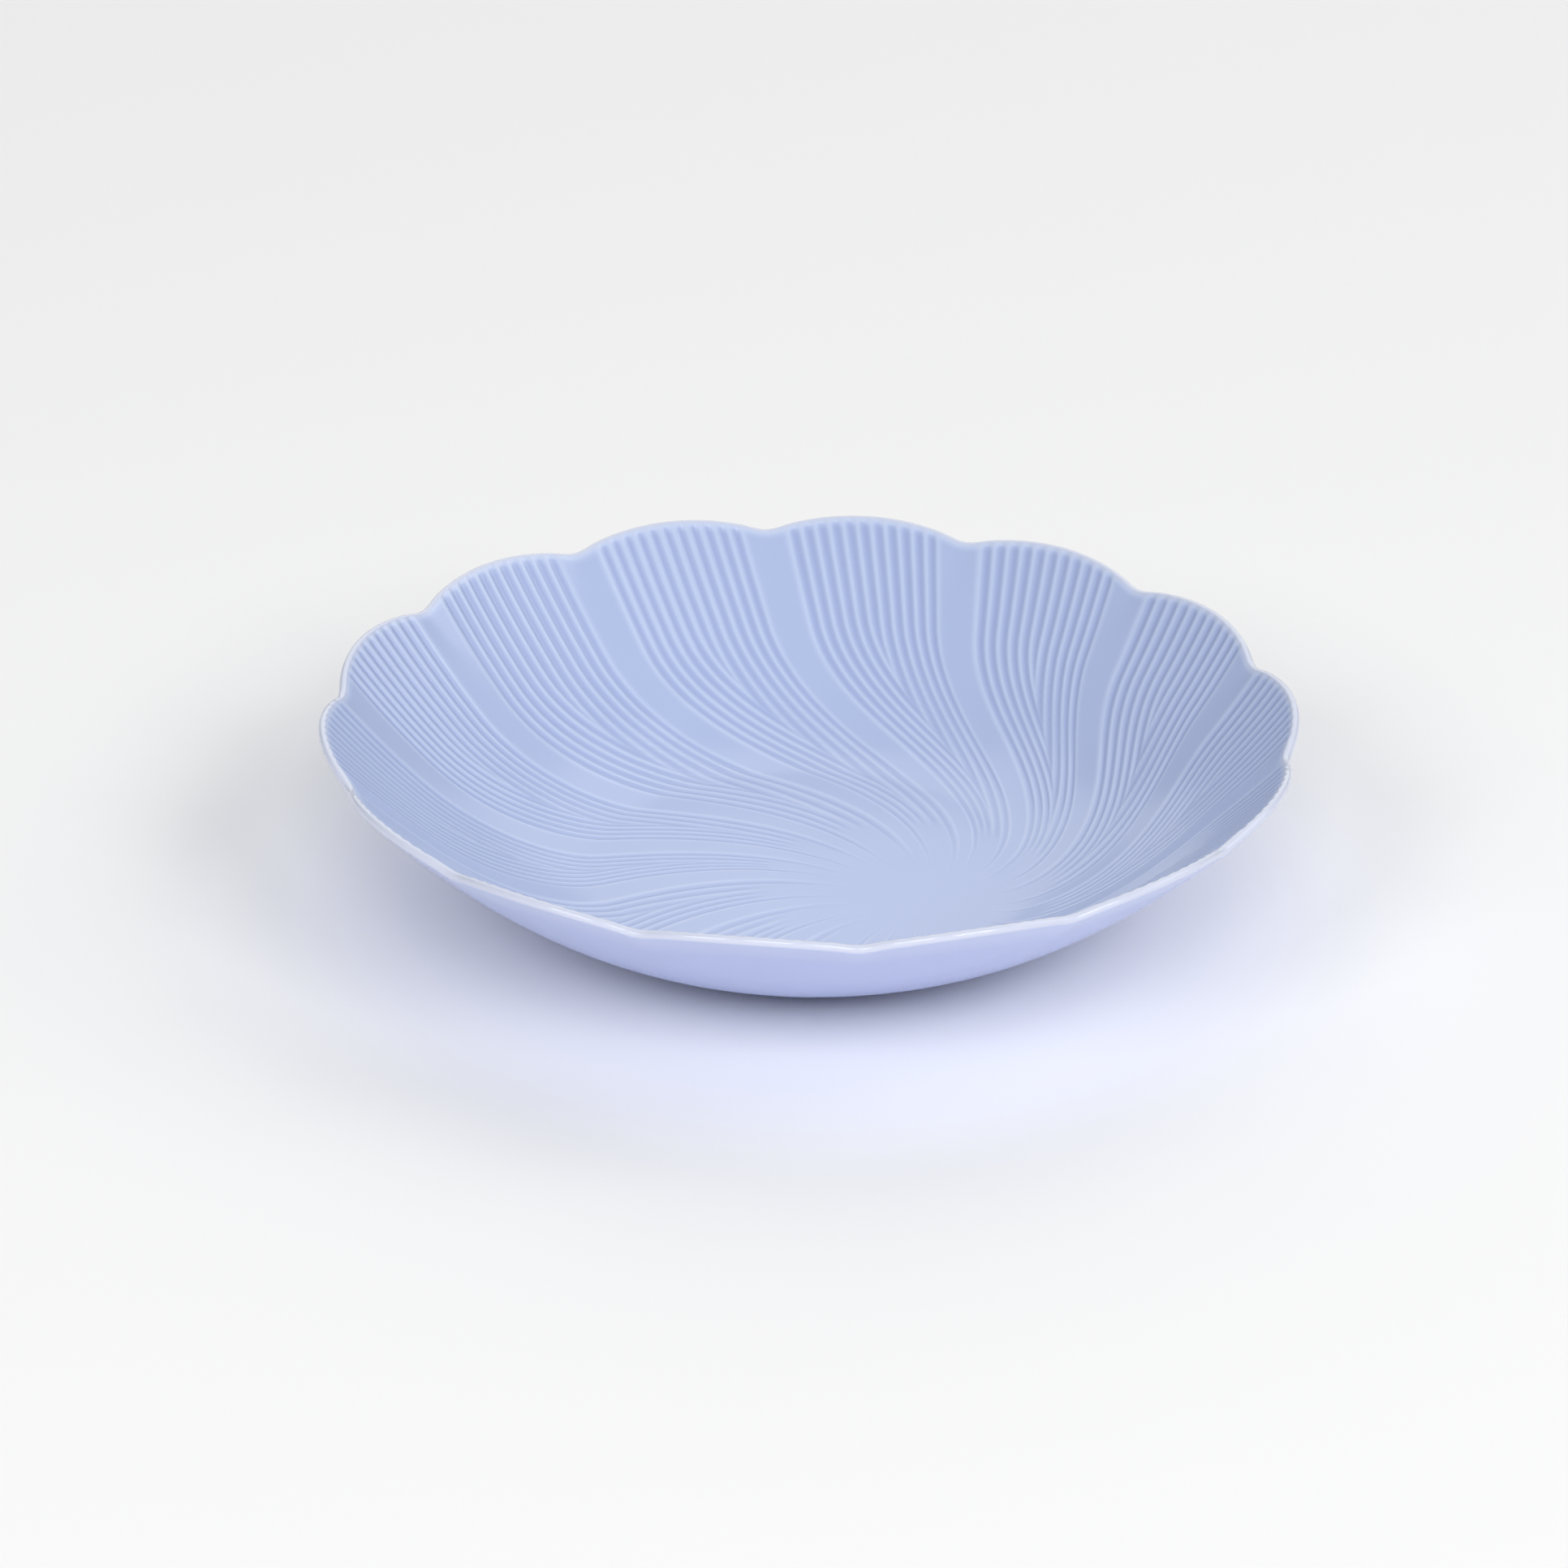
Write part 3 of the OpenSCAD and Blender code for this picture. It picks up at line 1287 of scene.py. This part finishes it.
@dataclass
class BaseCoat:
    """The coat of glaze on the underside, inside the foot ring.

    Attributes:
        form: The plate.
        columns: Columns of the mesh.
        shares: Radii of the rings on its underside, as shares of its own.
        bead: Rounding of its edge, by the foot ring.
        edge_glaze: Thickness of the glaze there, where it pools a little.
    """

    form: PlateForm
    columns: int = 224
    shares: tuple[float, ...] = (0.0, 0.3, 0.6, 0.85, 0.95)
    bead: float = 0.00015
    edge_glaze: float = 0.64

    def coat_ring(self, radius: float, height: float, glaze: float, round_over: float = 0.0) -> Ring:
        """Makes a round ring of the coat.

        Args:
            radius: Its radius.
            height: Its height over the table.
            glaze: Thickness of the glaze.
            round_over: Rounding of its edge, or 0.

        Returns:
            The ring.
        """

        def place(turn: float) -> Spot:
            """Places a spot of the ring."""
            point = Vector((radius * math.cos(turn), radius * math.sin(turn), height))
            return Spot(point, glaze, outer=1.0)

        return Ring(place, pole=radius == 0.0, round_over=round_over)

    def build(self) -> bpy.types.Object:
        """Builds the coat as one closed disc.

        Returns:
            The piece.
        """
        form = self.form
        top = form.underside
        low = top - form.glaze_t
        inner = [self.coat_ring(form.base_r * share, low, GLAZE_EVEN) for share in self.shares]
        edge = [
            self.coat_ring(form.base_r, height, self.edge_glaze, self.bead) for height in (low, top)
        ]
        rings = [*inner, *edge, self.coat_ring(0.0, top, GLAZE_EVEN)]
        return Blank("base_coat", self.columns, rings).piece()


@dataclass
class Lamp:
    """A soft square lamp that is turned to the plate.

    Attributes:
        name: Name of the lamp.
        place: Where it stands.
        size: Length of its side.
        power: Its power, in watts.
        aim: The point that it is turned to.
    """

    name: str
    place: tuple[float, float, float]
    size: float
    power: float
    aim: tuple[float, float, float] = (0.0, 0.0, 0.02)

    def hang(self) -> None:
        """Puts the lamp into the scene."""
        data = bpy.data.lights.new(self.name, "AREA")
        data.size = self.size
        data.energy = self.power
        made = bpy.data.objects.new(self.name, data)
        made.location = self.place
        throw = Vector(self.aim) - Vector(self.place)
        made.rotation_euler = throw.to_track_quat("-Z", "Y").to_euler()
        bpy.context.scene.collection.objects.link(made)


@dataclass
class Studio:
    """The pale table, the soft light and the camera.

    Attributes:
        table: Colour of the table.
        table_size: Half the length of its side.
        sky: Strength of the even light from all round.
        lamps: The lamps.
        target: Point that the camera looks at.
        distance: Distance from the camera to that point.
        elevation: Height of the camera's view over the horizon.
        roll: Turn of the camera about its own axis.
        lens: Its focal length, in millimetres.
        sensor: Breadth of its sensor, in millimetres.
        far: Distance to which it sees.
    """

    table: str = "fafafa"
    table_size: float = 4.0
    sky: float = 0.2
    lamps: list[Lamp] = field(
        default_factory=lambda: [
            Lamp("front_lamp", (0.0, -2.973, 2.677), 1.6, 44.0),
            Lamp("front_right_lamp", (2.106, -2.51, 2.294), 1.6, 48.0),
            Lamp("front_left_lamp", (-2.106, -2.51, 2.294), 1.6, 44.0),
            Lamp("right_lamp", (3.227, 0.569, 2.294), 2.4, 32.0),
            Lamp("back_panel", (0.0, 3.277, 2.294), 4.0, 59.0),
        ]
    )
    target: tuple[float, float, float] = (-0.006016, -0.03064, 0.04322)
    distance: float = 1.6113
    elevation: float = math.radians(26.35)
    roll: float = math.radians(0.729)
    lens: float = 160.73
    sensor: float = 36.0
    far: float = 50.0

    def lay_table(self) -> None:
        """Lays the table under the plate."""
        sheet = bmesh.new()
        bmesh.ops.create_grid(sheet, x_segments=1, y_segments=1, size=self.table_size)
        mesh = bpy.data.meshes.new("table")
        sheet.to_mesh(mesh)
        sheet.free()
        made = bpy.data.objects.new("table", mesh)
        bpy.context.scene.collection.objects.link(made)
        finish = bpy.data.materials.new("table_paint")
        finish.use_nodes = True
        bench = NodeBench(finish.node_tree)
        shader = bench.add("ShaderNodeBsdfDiffuse")
        shader.inputs["Color"].default_value = linear(self.table)
        bench.surface(shader)
        mesh.materials.append(finish)

    def light(self) -> None:
        """Hangs the lamps and sets the even light."""
        world = bpy.data.worlds.new("studio")
        world.use_nodes = True
        bpy.context.scene.world = world
        bench = NodeBench(world.node_tree)
        even = bench.add("ShaderNodeBackground")
        even.inputs["Color"].default_value = (1.0, 1.0, 1.0, 1.0)
        even.inputs["Strength"].default_value = self.sky
        bench.link(even.outputs["Background"], bench.add("ShaderNodeOutputWorld").inputs["Surface"])
        for lamp in self.lamps:
            lamp.hang()

    def set_camera(self) -> None:
        """Sets the camera at the photograph's angle."""
        data = bpy.data.cameras.new("camera")
        data.sensor_width = self.sensor
        data.lens = self.lens
        data.clip_end = self.far
        made = bpy.data.objects.new("camera", data)
        back = Vector((0.0, -math.cos(self.elevation), math.sin(self.elevation)))
        look = Euler((TAU / 4 - self.elevation, 0.0, 0.0)).to_matrix()
        turned = look @ Matrix.Rotation(self.roll, 3, "Z")
        made.location = Vector(self.target) + back * self.distance
        made.rotation_euler = turned.to_euler()
        bpy.context.scene.collection.objects.link(made)
        bpy.context.scene.camera = made

    def build(self) -> None:
        """Sets up the whole studio."""
        bpy.context.scene.view_settings.view_transform = "Standard"
        self.lay_table()
        self.light()
        self.set_camera()


def main() -> None:
    """Builds the plate and its studio."""
    logging.basicConfig(level=logging.INFO)
    form = PlateForm()
    flutes = SwirlFlutes(form)
    bed = Underlay(form)
    face_glaze = GlazeFinish("face_glaze", thin="d2d8ea", crest="c3d0ed", even="b2c0e3", pool="a6b4dc")
    back_glaze = GlazeFinish("back_glaze", thin="d2d7eb", crest="c5d0f4", even="b6c2f0", pool="a8b4e8")
    clay = ClayFinish("fired_clay", face_glaze, back_glaze, clay="e9e6df", stain="d3cdc2")
    face_paint, back_paint = face_glaze.material(), back_glaze.material()
    settle(ClayBody(form, flutes, bed).build(), Node.BODY, clay.material())
    settle(SwirledFace(form, flutes, bed).build(), Node.FACE, face_paint)
    settle(BackCoat(form).build(), Node.BACK, back_paint)
    settle(BaseCoat(form).build(), Node.BASE, back_paint)
    Studio().build()


if __name__ == "__main__":
    main()
